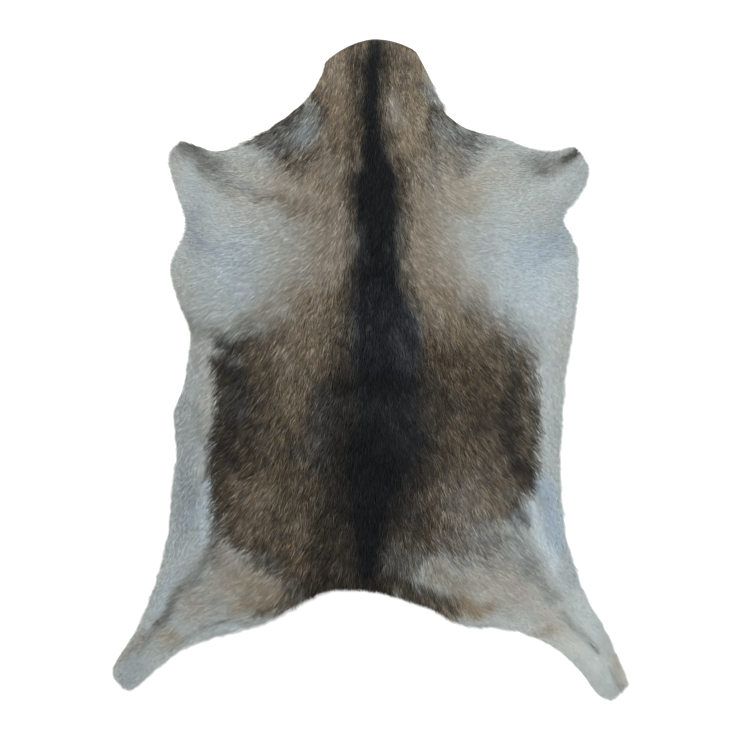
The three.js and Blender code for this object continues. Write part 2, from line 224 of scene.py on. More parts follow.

# The coat's markings, painted in this order over the pale ground. Each is a soft band between
# two places, in millimetres across and along, with its half width at both ends. Besides the
# hair's own colours, some bands are painted shade of folds and creases, painted cool shade and
# skylight sheen, and painted sheen on the black stripe.
MARKINGS = (
    # marking, from, to, half width, half width at the end, softness, tone, strength
    ("left shoulder warm", (-155, 222), (-128, 150), 26, 26, 32, "cream", 0.6),
    ("right shoulder warm", (165, 268), (205, 228), 22, 26, 30, "cream", 0.6),
    ("neck", (0, 425), (0, 290), 76, 92, 12, "tan", 1),
    ("left shoulder", (-55, 280), (-58, 120), 36, 40, 24, "fawn", 1),
    ("left shoulder sand", (-130, 258), (-88, 242), 18, 24, 20, "sand", 0.9),
    ("left shoulder gold", (-112, 240), (-86, 234), 12, 12, 20, "sand", 0.45),
    ("left withers", (-82, 268), (-60, 250), 12, 12, 14, "tan", 0.6),
    ("left shoulder oat", (-95, 195), (-100, 130), 22, 26, 22, "oat", 0.8),
    ("left shoulder tan", (-98, 220), (-70, 214), 11, 13, 15, "tan", 0.48),
    ("left shoulder fawn", (-56, 174), (-62, 142), 14, 15, 16, "sand", 0.42),
    ("left shoulder light", (-45, 190), (-92, 166), 12, 15, 22, "sand", 0.4),
    ("left shoulder pale", (-114, 178), (-100, 162), 11, 11, 16, "pale", 0.5),
    ("right shoulder", (64, 290), (72, 110), 34, 36, 24, "fawn", 1),
    ("right shoulder sand", (95, 258), (140, 246), 20, 20, 20, "sand", 0.95),
    ("right shoulder cream", (142, 276), (172, 262), 12, 16, 18, "cream", 0.8),
    ("right shoulder rust", (100, 229), (138, 219), 9, 10, 16, "ochre", 0.5),
    ("right shoulder oat", (108, 212), (116, 156), 20, 22, 26, "oat", 0.68),
    ("right shoulder slope", (110, 148), (148, 106), 10, 9, 22, "fawn", 0.6),
    ("right shoulder pale", (126, 176), (132, 164), 10, 10, 16, "pale", 0.4),
    ("saddle left", (-154, -12), (-155, -188), 58, 58, 14, "brown", 1),
    ("saddle right", (168, -10), (162, -140), 58, 60, 12, "brown", 1),
    ("saddle left back", (-85, 5), (-80, -225), 62, 62, 30, "brown", 1),
    ("saddle right back", (98, -5), (85, -190), 62, 62, 30, "brown", 1),
    ("saddle left front", (-122, 42), (-144, 28), 26, 22, 22, "brown", 0.85),
    ("saddle right front", (132, 45), (168, 22), 32, 36, 24, "brown", 0.85),
    ("rump", (-22, -225), (-30, -305), 62, 62, 16, "umber", 1),
    ("rump right fill", (36, -215), (24, -262), 36, 16, 16, "umber", 0.78),
    ("left ribs", (-84, 82), (-95, 24), 29, 32, 24, "tan", 0.92),
    ("left ribs rust", (-48, 98), (-55, 62), 11, 10, 14, "russet", 0.75),
    ("left chest", (-116, 98), (-146, 82), 13, 11, 22, "ochre", 0.42),
    ("left chest grey", (-150, 80), (-180, 62), 11, 11, 16, "ochre", 0.45),
    ("right ribs", (100, 96), (110, 56), 24, 24, 24, "tan", 0.88),
    ("right rib light", (86, 130), (84, 118), 8, 8, 13, "sand", 0.45),
    ("right ribs edge", (142, 90), (178, 64), 12, 12, 24, "russet", 0.45),
    ("right ribs shade", (76, 74), (80, 34), 8, 9, 14, "russet", 0.65),
    ("right side shade", (100, 46), (104, 18), 9, 10, 15, "umber", 0.42),
    ("right chest", (174, 80), (204, 54), 9, 10, 18, "steel", 0.5),
    ("left rib spot", (-136, 62), (-132, 56), 6, 6, 9, "fawn", 0.6),
    ("left side grey", (-130, 22), (-118, 4), 14, 14, 16, "fawn", 0.55),
    ("left side glow", (-108, -25), (-108, -60), 16, 16, 20, "tan", 0.6),
    ("left side dark", (-168, -40), (-165, -100), 12, 12, 16, "umber", 0.7),
    ("left low slate", (-62, -34), (-66, -115), 18, 22, 20, "slate", 0.7),
    ("left low tuft", (-102, -108), (-100, -122), 8, 8, 14, "slate", 0.6),
    ("left low warm", (-154, -170), (-166, -215), 22, 22, 22, "tan", 0.58),
    ("left croup dark", (-66, -165), (-58, -280), 22, 24, 24, "umber", 0.42),
    ("left croup light", (-96, -204), (-98, -256), 10, 12, 14, "tan", 0.5),
    ("left croup russet", (-112, -256), (-90, -285), 13, 13, 18, "russet", 0.6),
    ("left haunch dark", (-192, -216), (-138, -254), 8, 10, 15, "umber", 0.42),
    ("left haunch low dark", (-160, -256), (-120, -272), 12, 13, 17, "umber", 0.68),
    ("left elbow fade", (-204, 50), (-162, 56), 9, 9, 13, "ash", 0.55),
    ("left elbow dark", (-204, 44), (-185, 27), 9, 9, 12, "soot", 0.85),
    ("left elbow light", (-166, 45), (-160, 38), 6, 6, 9, "grizzle", 0.5),
    # Painted shade of a fold by the left elbow.
    ("left elbow fold", (-250, 60), (-210, 50), 8, 9, 12, "shade", 0.6),
    ("left flank edge", (-209, 14), (-208, -62), 8, 8, 6, "umber", 0.92),
    ("left flank dark", (-190, 0), (-176, -18), 17, 14, 11, "soot", 0.95),
    ("left flank slate", (-186, -40), (-178, -60), 16, 15, 16, "slate", 0.8),
    ("left flank umber", (-203, -78), (-207, -140), 15, 14, 10, "umber", 0.9),
    ("left flank soot", (-188, -52), (-190, -125), 9, 12, 14, "soot", 0.7),
    ("left flank low", (-213, -146), (-212, -188), 11, 10, 10, "umber", 0.8),
    ("left flank fleck", (-188, 21), (-178, 8), 3, 4, 6, "steel", 0.9),
    ("left flank grey", (-206, -205), (-214, -260), 11, 11, 14, "ash", 0.8),
    ("right side dark", (84, 12), (96, -52), 15, 18, 18, "umber", 0.92),
    ("right side umber", (128, 6), (152, -62), 26, 26, 24, "umber", 0.62),
    ("right side russet", (88, 14), (136, -14), 22, 24, 26, "russet", 0.5),
    ("right side glow", (108, 66), (140, 34), 9, 10, 18, "ochre", 0.42),
    ("right low umber", (88, -60), (82, -130), 16, 20, 20, "umber", 0.7),
    ("right flank olive", (172, 30), (180, 10), 12, 12, 16, "olive", 0.7),
    ("right flank grey", (189, 36), (194, 12), 8, 8, 13, "ash", 0.6),
    ("right elbow grey", (194, 54), (224, 28), 12, 11, 15, "steel", 0.65),
    ("right flank dark", (193, -2), (196, -25), 10, 11, 13, "soot", 0.75),
    ("right flank soot", (182, -48), (196, -125), 13, 16, 15, "soot", 0.8),
    ("right flank edge", (221, 20), (220, -48), 8, 8, 9, "ash", 0.85),
    ("right flank low edge", (220, -52), (225, -134), 9, 10, 8, "umber", 0.82),
    ("right flank dim", (208, -36), (205, -82), 6, 7, 10, "umber", 0.45),
    ("right flank corner", (214, -138), (220, -161), 12, 9, 8, "soot", 0.75),
    ("right corner slate", (186, -165), (204, -174), 9, 8, 12, "ash", 0.65),
    ("right flank fleck", (207, -64), (216, -84), 2.5, 3, 5, "oat", 0.7),
    ("right haunch grey", (122, -178), (158, -232), 26, 28, 32, "grizzle", 0.85),
    ("right haunch fade", (102, -228), (122, -248), 18, 17, 26, "grizzle", 0.8),
    ("right haunch low", (144, -256), (190, -272), 12, 14, 22, "grizzle", 0.6),
    ("right haunch silver", (146, -226), (158, -234), 9, 8, 14, "steel", 0.8),
    ("right haunch top", (146, -142), (166, -132), 8, 9, 14, "grizzle", 0.5),
    ("right haunch sheen", (128, -175), (174, -186), 9, 8, 14, "fawn", 0.72),
    ("right haunch oat", (86, -276), (124, -296), 13, 14, 20, "fawn", 0.85),
    ("rump right low", (64, -238), (48, -278), 12, 10, 15, "umber", 0.7),
    ("right thigh", (148, -284), (188, -294), 14, 24, 18, "oat", 0.95),
    ("right thigh cream", (150, -293), (176, -300), 10, 12, 12, "cream", 0.5),
    ("right haunch band", (110, -323), (164, -322), 12, 9, 10, "ochre", 0.92),
    ("right haunch band dark", (84, -307), (110, -316), 8, 5, 9, "umber", 0.75),
    ("right haunch cool", (200, -225), (222, -268), 9, 12, 13, "steel", 0.9),
    # Painted shade of a fold across the right thigh.
    ("right thigh fold", (213, -271), (248, -304), 10, 7, 13, "shade", 0.92),
    ("right notch dark", (190, -194), (205, -206), 8, 8, 11, "slate", 0.68),
    ("right notch", (210, -187), (218, -194), 3, 5, 5, "blue", 0.8),
    ("left haunch", (-236, -312), (-205, -292), 24, 22, 16, "oat", 0.95),
    ("left haunch top", (-198, -254), (-176, -266), 10, 13, 20, "fawn", 0.65),
    ("left haunch sand", (-188, -292), (-168, -286), 18, 16, 20, "sand", 0.7),
    ("left haunch pale", (-222, -304), (-204, -306), 11, 11, 16, "pale", 0.5),
    ("left haunch tan", (-164, -294), (-130, -296), 14, 13, 20, "ochre", 0.72),
    ("left haunch brown", (-152, -270), (-144, -274), 8, 8, 13, "brown", 0.4),
    ("left haunch olive", (-182, -322), (-126, -309), 8, 9, 10, "ochre", 0.72),
    ("left haunch edge", (-146, -325), (-104, -315), 7, 8, 8, "olive", 0.8),
    ("left haunch rim", (-206, -351), (-148, -340), 7, 4, 4, "white", 0.95),
    # Painted shade along a fold at the left haunch's rim.
    ("left fold line", (-256, -361), (-205, -341), 1.5, 2.5, 4, "shade", 0.9),
    ("left fold line end", (-205, -341), (-150, -336), 2.5, 1.5, 4, "shade", 0.6),
    ("neck left dim", (-22, 438), (-20, 330), 10, 7, 10, "umber", 0.75),
    ("neck left tuft", (-52, 418), (-48, 405), 9, 9, 11, "fawn", 0.6),
    ("neck left glow", (-46, 400), (-47, 384), 9, 9, 11, "fawn", 0.55),
    ("neck left rust", (-44, 362), (-48, 306), 9, 10, 13, "ochre", 0.5),
    ("neck left low", (-46, 316), (-42, 298), 12, 14, 14, "brown", 0.4),
    # Painted shade of a crease at the left of the neck.
    ("neck left seam", (-72, 380), (-64, 352), 5, 6, 9, "umber", 0.75),
    ("neck left grey", (-84, 355), (-88, 318), 12, 20, 12, "steel", 0.95),
    ("neck left gleam", (-71, 345), (-72, 334), 5, 5, 8, "steel", 0.55),
    ("neck left frost", (-94, 328), (-92, 316), 7, 7, 9, "mist", 0.8),
    ("neck left dark", (-108, 336), (-150, 312), 16, 15, 13, "ash", 0.95),
    ("neck left rim", (-98, 352), (-160, 312), 8, 9, 10, "umber", 0.68),
    ("neck left olive", (-122, 304), (-100, 282), 19, 18, 20, "ash", 0.85),
    ("neck left brown", (-116, 282), (-95, 262), 12, 10, 18, "ochre", 0.6),
    ("neck left spot", (-118, 289), (-112, 279), 6, 7, 10, "umber", 0.7),
    ("neck left root", (-96, 289), (-76, 292), 9, 11, 14, "brown", 0.65),
    ("neck right brow", (26, 430), (24, 396), 10, 8, 11, "umber", 0.7),
    ("neck right top", (42, 438), (52, 432), 8, 8, 11, "brown", 0.3),
    ("neck right tuft", (62, 424), (64, 406), 5, 5, 8, "fawn", 0.5),
    ("neck right olive top", (45, 416), (38, 392), 8, 9, 13, "olive", 0.5),
    ("neck right dim", (18, 425), (27, 305), 4, 7, 8, "umber", 0.65),
    ("neck right light", (30, 374), (38, 340), 6, 10, 10, "oat", 0.75),
    ("neck right glow", (70, 352), (69, 336), 5, 6, 9, "sand", 0.6),
    ("neck right rust", (58, 342), (54, 326), 3, 3, 7, "brown", 0.4),
    ("neck right low", (50, 316), (48, 292), 11, 12, 14, "ochre", 0.5),
    ("neck right fold", (71, 318), (68, 304), 4, 5, 10, "brown", 0.35),
    ("right withers shade", (58, 292), (61, 256), 7, 8, 14, "brown", 0.55),
    ("neck right edge", (79, 382), (83, 361), 9, 10, 9, "steel", 0.85),
    # Painted shade of a crease at the right of the neck.
    ("neck right crease", (80, 352), (79, 310), 4.5, 4, 7, "umber", 0.82),
    ("neck right grey", (97, 332), (124, 308), 12, 19, 15, "ash", 0.68),
    ("neck right shade", (122, 318), (146, 306), 9, 11, 15, "ash", 0.6),
    ("neck right rim low", (112, 336), (166, 312), 5, 5, 8, "steel", 0.7),
    ("neck right rim", (93, 352), (114, 337), 8, 7, 9, "umber", 0.88),
    ("neck right root", (136, 314), (141, 292), 8, 8, 14, "ash", 0.55),
    ("neck right olive", (106, 290), (120, 278), 13, 14, 18, "olive", 0.62),
    ("neck right fade", (86, 318), (84, 258), 8, 11, 14, "ash", 0.48),
    # Painted cool shade in the left armpit's folds and along the left foreleg, and painted skylight sheen on
    # the left shoulder.
    ("left armpit shade", (-243, 212), (-238, 172), 8, 10, 12, "mist", 0.95),
    ("left foreleg dim", (-254, 278), (-238, 216), 18, 18, 26, "mist", 0.45),
    ("left foreleg rim", (-270, 294), (-268, 262), 8, 8, 14, "oat", 0.6),
    ("left armpit fold", (-236, 172), (-212, 170), 5, 6, 8, "mist", 0.9),
    ("left armpit frost", (-190, 178), (-165, 172), 12, 12, 22, "frost", 0.5),
    ("left shoulder blue", (-208, 162), (-182, 150), 14, 14, 24, "blue", 0.35),
    ("left shoulder frost", (-195, 122), (-180, 95), 26, 18, 24, "frost", 0.6),
    ("left chest rim", (-264, 128), (-257, 88), 5, 5, 9, "cream", 0.6),
    ("left foreleg beige", (-205, 252), (-180, 242), 10, 12, 13, "oat", 0.85),
    ("left foreleg cream", (-186, 278), (-146, 262), 12, 13, 17, "cream", 0.7),
    # Painted shade of the crease across the left foreleg.
    ("left foreleg corner", (-254, 300), (-218, 281), 13, 9, 13, "shade", 1),
    ("left foreleg dark", (-251, 302), (-214, 275), 9, 7, 11, "smoke", 0.95),
    ("left foreleg brow", (-253, 305), (-228, 297), 7, 6, 9, "smoke", 0.95),
    ("left foreleg fold", (-214, 275), (-200, 258), 6, 6, 13, "shade", 0.8),
    ("left foreleg veil", (-212, 294), (-194, 274), 8, 8, 14, "shade", 0.55),
    ("left foreleg shade", (-218, 264), (-206, 248), 8, 8, 12, "shade", 0.65),
    ("left foreleg line", (-200, 262), (-148, 239), 6, 6, 12, "steel", 0.6),
    ("left foreleg crease", (-150, 237), (-98, 215), 6, 9, 14, "tan", 0.5),
    ("left crease spot", (-132, 231), (-126, 228), 5, 5, 8, "tan", 0.6),
    ("left neck rim", (-168, 310), (-122, 330), 6, 7, 9, "ash", 0.7),
    ("right foreleg white", (268, 258), (190, 225), 18, 24, 26, "white", 0.95),
    ("right foreleg corner", (277, 299), (268, 293), 6, 7, 9, "soot", 0.75),
    # Painted shade of the fold along the right foreleg.
    ("right foreleg brow", (288, 296), (281, 302), 4, 4, 6, "smoke", 0.6),
    ("right foreleg fold", (260, 287), (234, 277), 8, 9, 15, "smoke", 0.68),
    ("right foreleg spot", (238, 272), (226, 273), 6, 6, 12, "ash", 0.35),
    ("right foreleg grey", (226, 280), (210, 278), 7, 6, 12, "shade", 0.5),
    # Painted cool shade under the right foreleg's edge.
    ("right foreleg under", (289, 264), (264, 215), 5, 6, 8, "mist", 0.2),
    ("right chest white", (266, 140), (262, 60), 14, 14, 18, "white", 0.7),
    # Painted skylight sheen on the right shoulder, and painted cool shade with crease lines in the right
    # armpit.
    ("right shoulder frost", (200, 155), (226, 98), 30, 28, 34, "frost", 0.75),
    ("right shoulder rime", (184, 99), (190, 84), 8, 8, 14, "frost", 0.4),
    ("right armpit frost", (262, 150), (236, 148), 12, 14, 20, "frost", 0.7),
    ("right armpit blue", (263, 190), (240, 172), 8, 12, 14, "blue", 0.68),
    ("right armpit low", (252, 165), (205, 152), 7, 8, 13, "blue", 0.4),
    ("right armpit line", (262, 160), (225, 150), 3, 3, 6, "mist", 0.5),
    ("left belly warm", (-232, 40), (-226, -20), 9, 7, 10, "cream", 0.6),
    ("left belly cream", (-224, -25), (-222, -75), 5, 5, 6, "cream", 0.8),
    # Painted shade of the creases along the left belly.
    ("left belly crease", (-240, -55), (-228, -92), 3.5, 4, 7, "shade", 0.5),
    ("left belly notch", (-259, -53), (-250, -45), 3, 3, 5, "shade", 0.6),
    ("left belly light", (-236, -105), (-230, -130), 6, 6, 8, "white", 0.4),
    # Painted cool shade and skylight sheen of the folds along the left belly and stifle.
    ("left belly shade", (-252, -110), (-257, -215), 7, 9, 11, "mist", 0.65),
    ("left belly edge", (-250, 10), (-262, -240), 7, 9, 11, "mist", 0.28),
    ("left belly fold", (-246, -150), (-226, -155), 4, 4, 6, "mist", 0.8),
    ("left stifle shade", (-242, -166), (-244, -196), 8, 8, 11, "mist", 0.6),
    ("left stifle blue", (-250, -205), (-236, -190), 6, 6, 9, "blue", 0.5),
    ("left stifle frost", (-226, -162), (-232, -228), 5, 7, 7, "frost", 0.8),
    ("left stifle low", (-248, -238), (-266, -275), 8, 8, 10, "frost", 0.4),
    # Painted shade of a fold line along the left thigh.
    ("left thigh line", (-218, -250), (-254, -298), 6, 5, 9, "shade", 0.9),
    ("right belly warm", (263, 62), (258, 20), 6, 6, 10, "cream", 0.6),
    ("right belly white", (245, 32), (243, -126), 10, 9, 10, "white", 0.75),
    # Painted cool shade and skylight sheen of the folds at the right belly and stifle.
    ("right belly shade", (254, -70), (250, -95), 5, 5, 8, "mist", 0.3),
    ("right stifle blue", (242, -160), (251, -250), 12, 9, 10, "frost", 0.9),
    ("right stifle cool", (238, -162), (256, -238), 11, 10, 10, "blue", 0.8),
    ("right stifle dim", (231, -165), (234, -180), 5, 5, 8, "mist", 0.55),
    ("right white line", (219, -188), (248, -265), 4.5, 5.5, 7, "ice", 0.95),
    ("right stifle low", (256, -262), (270, -292), 8, 8, 10, "white", 0.6),
    ("left hind outer", (-272, -285), (-286, -308), 5, 5, 8, "blue", 0.4),
    # Painted shade of the fold lines down the left hind leg.
    ("left hind line", (-259, -303), (-285, -343), 3, 8, 8, "smoke", 0.85),
    ("left hind dark", (-274, -322), (-287, -341), 3, 3, 7, "smoke", 0.5),
    ("left hind skin", (-274, -290), (-291, -319), 4, 5, 7, "frost", 0.6),
    ("left hind low line", (-289, -351), (-318, -382), 4, 4, 7, "shade", 0.85),
    ("left hind rim", (-310, -362), (-338, -396), 4, 5, 8, "fawn", 0.6),
    ("left hind ochre", (-282, -365), (-266, -357), 6, 6, 11, "ochre", 0.7),
    ("left hind under", (-292, -384), (-268, -374), 6, 6, 8, "oat", 0.5),
    ("left hoof", (-318, -398), (-338, -424), 13, 12, 12, "mist", 0.52),
    ("right hind", (216, -312), (250, -342), 22, 14, 18, "sand", 0.4),
    ("right hind cream", (236, -322), (262, -356), 10, 10, 12, "cream", 0.8),
    ("right hind ochre", (226, -352), (246, -358), 8, 7, 12, "ochre", 0.48),
    ("right hind rust", (248, -362), (262, -372), 4, 4, 10, "sand", 0.45),
    ("right shank", (262, -372), (306, -402), 8, 8, 11, "chalk", 0.75),
    ("right haunch rim", (180, -338), (226, -348), 4, 5, 8, "chalk", 0.45),
    ("right hind white", (282, -305), (298, -352), 7, 8, 10, "white", 0.9),
    # Painted shade of a fold line down the right hind leg.
    ("right hind line", (262, -332), (306, -376), 3, 4, 6, "shade", 0.8),
    # Painted cool shade at the right hind rim.
    ("right hind rim", (260, -250), (275, -284), 5, 6, 8, "mist", 0.6),
    ("right hind dark", (294, -366), (305, -375), 2, 3, 4, "ash", 0.7),
    ("right hoof white", (300, -385), (318, -410), 9, 9, 12, "white", 0.7),
    ("right hoof tan", (330, -398), (346, -424), 7, 6, 7, "sand", 0.7),
    # Painted shade of a fold line across the right hoof.
    ("right hoof line", (328, -412), (343, -426), 1.5, 1.5, 4, "shade", 0.7),
    ("tail left rim", (-112, -300), (-60, -285), 12, 12, 14, "umber", 0.8),
    ("tail right", (20, -290), (70, -301), 12, 12, 12, "umber", 0.9),
    ("tail right rim", (50, -312), (118, -329), 10, 9, 12, "brown", 0.9),
    ("rump slate", (45, -185), (62, -195), 12, 12, 16, "slate", 0.7),
    ("rump right", (72, -202), (68, -226), 10, 10, 14, "umber", 0.7),
    ("rump grey", (28, -238), (22, -268), 10, 9, 14, "ash", 0.88),
    ("loin halo", (10, 0), (6, -130), 60, 74, 26, "soot", 0.8),
    ("croup halo", (5, -130), (-8, -240), 62, 28, 24, "soot", 0.82),
    ("stripe left halo", (-25, 325), (-33, 215), 6, 7, 12, "umber", 0.75),
    ("fore left halo", (-30, 200), (-28, 130), 6, 8, 12, "umber", 0.5),
    ("stripe right halo", (42, 288), (49, 210), 6, 7, 13, "umber", 0.85),
    ("fore right halo", (44, 235), (46, 160), 6, 6, 11, "umber", 0.6),
    ("back left halo", (-27, 128), (-36, 45), 9, 12, 13, "umber", 0.82),
    ("back right halo", (47, 138), (62, 86), 6, 7, 12, "umber", 0.7),
    ("stripe poll", (5, 438), (4, 412), 13, 11, 11, "jet", 0.92),
    ("stripe neck", (0, 412), (0, 350), 12, 12, 9, "jet", 1),
    ("stripe nape", (1, 350), (4, 300), 13, 15, 9, "jet", 1),
    ("stripe withers", (4, 300), (7, 258), 14, 28, 11, "jet", 1),
    ("stripe shoulders", (7, 258), (6, 222), 29, 33, 10, "jet", 1),
    ("stripe fore back", (8, 218), (11, 152), 28, 25, 10, "jet", 1),
    ("stripe back", (6, 148), (13, 90), 30, 36, 11, "jet", 1),
    # Painted sheen on the black stripe.
    ("stripe grey sheen", (-10, 196), (-8, 156), 4, 5, 8, "slate", 0.6),
    ("stripe silver sheen", (24, 168), (27, 146), 4, 4, 8, "slate", 0.55),
    ("stripe loin", (14, 85), (18, 0), 36, 42, 12, "ink", 0.95),
    ("stripe right edge", (50, 62), (50, 6), 18, 15, 8, "ink", 0.78),
    # Painted sheen on the black stripe and its right edge.
    ("stripe sheen", (38, 44), (44, 4), 9, 9, 13, "slate", 0.7),
    ("stripe edge sheen", (58, 30), (60, 4), 9, 10, 11, "slate", 0.55),
    # Painted shade of a crease across the back.
    ("back crease", (-48, -24), (70, -24), 6, 6, 11, "jet", 0.7),
    ("loin", (14, -32), (12, -130), 38, 39, 22, "jet", 0.8),
    ("loin right", (55, -45), (56, -110), 16, 14, 16, "ink", 0.6),
    # Painted sheen on the loin.
    ("loin sheen", (26, -58), (34, -98), 10, 12, 16, "slate", 0.3),
    ("croup", (4, -130), (0, -200), 42, 24, 20, "jet", 0.85),
    ("tail", (-3, -200), (-2, -284), 22, 12, 12, "jet", 0.95),
)

# How much single hairs of each tone differ from each other
TICKING = {
    "jet": 0.55, "ink": 0.75, "slate": 0.85, "soot": 0.85, "umber": 1.0, "brown": 1.0, "russet": 1.0,
    "olive": 0.8, "tan": 0.58, "fawn": 0.32, "sand": 0.22, "oat": 0.26, "cream": 0.1, "ochre": 0.38,
    "ash": 0.9, "grizzle": 0.85, "steel": 0.55, "smoke": 0.3, "shade": 0.3, "pale": 0.04, "mist": 0.06,
    "blue": 0.05, "frost": 0.035, "ice": 0.035, "white": 0.035, "chalk": 0.06,
}


def tone(red, green, blue, description):
    """A colour property from display values of 0 to 255, kept as linear light."""
    shares = np.array((red, green, blue)) / 255
    linear = np.where(shares <= 0.04045, shares / 12.92, ((shares + 0.055) / 1.055) ** 2.4)
    return FloatVectorProperty(
        name=description.split(",")[0].capitalize(), description=description.capitalize(),
        subtype="COLOR", default=tuple(linear), min=0, max=1,
    )


class CoatTones(PropertyGroup):
    """The hair colours that the markings are painted with, some of them painted shade and sheen"""

    jet: tone(15, 18, 21, "jet, the stripe along the back")
    ink: tone(26, 30, 36, "ink, the blue black of the middle back")
    # Slate also paints the sheen on the black stripe.
    slate: tone(64, 65, 67, "slate, the cool dark hair beside the stripe")
    soot: tone(38, 36, 33, "soot, the dark loin and flank patches")
    umber: tone(56, 50, 41, "umber, the dark brown hair")
    brown: tone(84, 74, 60, "brown, the saddle")
    russet: tone(88, 73, 54, "russet, the warm middle of the saddle")
    olive: tone(98, 91, 76, "olive, the dull brown at the neck's sides")
    tan: tone(120, 107, 88, "tan, the neck and warm sides")
    fawn: tone(136, 125, 109, "fawn, the shoulders")
    sand: tone(158, 149, 134, "sand, the lightest warm hair")
    oat: tone(155, 151, 142, "oat, the haunches")
    cream: tone(171, 169, 160, "cream, the warm white of the shoulders")
    ochre: tone(136, 119, 94, "ochre, the rusty spots on the legs")
    ash: tone(96, 96, 92, "ash, the grizzled neck sides")
    grizzle: tone(112, 108, 101, "grizzle, the mixed grey of the right haunch")
    steel: tone(129, 133, 131, "steel, the light grey hair")
    # Smoke and shade are painted shade, of the dark fold lines and along the folds.
    smoke: tone(96, 96, 92, "smoke, the dark fold lines on the pale legs")
    shade: tone(122, 125, 122, "shade, the short grey hair along the folds")
    pale: tone(168, 175, 173, "pale, the ground colour of legs and belly")
    # Mist and blue are painted cool shade in the folds and armpits; frost is pale hair with a painted
    # blue-white sheen of skylight.
    mist: tone(140, 150, 156, "mist, the cool shaded hair")
    blue: tone(150, 168, 183, "blue, the cool white of the folds")
    frost: tone(172, 188, 198, "frost, the blue white of the shoulders")
    ice: tone(188, 202, 210, "ice, the brightest line beside the right haunch")
    chalk: tone(193, 194, 188, "chalk, the warm white under the right hind leg")
    white: tone(180, 188, 187, "white, the brightest hair of the forelegs")


def distance(name, description, default):
    """A property that is a length."""
    return FloatProperty(name=name, description=description, default=default, unit="LENGTH")


def amount(name, description, default, **limits):
    """A property that is a plain number."""
    return FloatProperty(name=name, description=description, default=default, **limits)


class SkinSizes(PropertyGroup):
    """Sizes of the tanned skin under the hair"""

    thickness: distance("Thickness", "Thickness of the tanned skin", 1.6 * MM)
    step: distance("Step", "Spacing of the points of the skin that shows", 8 * MM)
    paint_step: distance("Paint step", "Spacing of the points that the coat is painted on", 4.5 * MM)
    slice_height: distance("Slice height", "Height above the locks where the solid gives its edge", 3.8 * MM)
    swell: amount("Swell", "Share of the solid's swell that the skin itself follows", 0.25, min=0, max=1)


class HairSizes(PropertyGroup):
    """Sizes of the strands that make up the coat"""

    undercoat_density: amount("Undercoat density", "Strands of undercoat on a square metre", 110000)
    undercoat_width: distance("Undercoat width", "Width of an undercoat strand", 1.4 * MM)
    topcoat_density: amount("Topcoat density", "Strands of topcoat on a square metre", 405000)
    topcoat_width: distance("Topcoat width", "Width of a topcoat strand", 0.7 * MM)
    rim_density: amount("Rim density", "Strands of rim hair on a square metre of rim", 520000)
    rim_width: distance("Rim width", "Width of a strand at the rim", 0.8 * MM)
    rim_depth: distance("Rim depth", "How far in from the edge the rim hair grows", 14 * MM)
    overhang: distance("Overhang", "How far hair tips may reach past the skin's edge", 4 * MM)
    least_length: distance("Least length", "Length of the shortest strand", 5 * MM)
    seed: IntProperty(name="Seed", description="Start of the random spread", default=11)


class StageSizes(PropertyGroup):
    """Sizes of the floor, the lights and the camera"""

    camera_height: distance("Camera height", "Height of the camera straight above the rug", 3.0)
    pixel_size: distance("Pixel size", "Width of the rug that one pixel of the picture shows", 1.36 * MM)
    floor_radius: distance("Floor radius", "Radius of the round floor", 25.0)
    key_power: amount("Key power", "Watts of the large light above the neck", 150.0)
    fill_power: amount("Fill power", "Watts of the softer light opposite", 60.0)
    sky: amount("Sky", "Strength of the even light from all round", 0.45)
    floor_colour: FloatVectorProperty(
        name="Floor colour", description="Colour of the pale floor",
        subtype="COLOR", default=(0.86, 0.86, 0.85), min=0, max=1,
    )


def smooth(share):
    """A soft step from 0 to 1."""
    share = np.clip(share, 0, 1)
    return share * share * (3 - 2 * share)


def node(tree, kind, inputs=None, **settings):
    """A new node with its settings, its inputs linked to sockets or set to values."""
    made = tree.nodes.new(kind)
    for name, value in settings.items():
        setattr(made, name, value)
    for name, value in (inputs or {}).items():
        if isinstance(value, NodeSocket):
            tree.links.new(value, made.inputs[name])
        else:
            made.inputs[name].default_value = value
    return made


def sum_of(tree, operation, first, second=0.0, third=0.0):
    """The result of a Math node."""
    inputs = {0: first, 1: second, 2: third}
    return node(tree, "ShaderNodeMath", inputs, operation=operation).outputs[0]


def ramp(tree, value, low, high, start, end):
    """A value mapped softly from one range to another."""
    inputs = {"Value": value, 1: low, 2: high, 3: start, 4: end}
    return node(tree, "ShaderNodeMapRange", inputs, interpolation_type="SMOOTHSTEP").outputs[0]


def tinted(tree, colour, factor):
    """A colour times a factor."""
    scaled = node(tree, "ShaderNodeVectorMath", {0: colour, "Scale": factor}, operation="SCALE")
    return scaled.outputs[0]


# The hide's surface: its edge, its points and what is painted on them


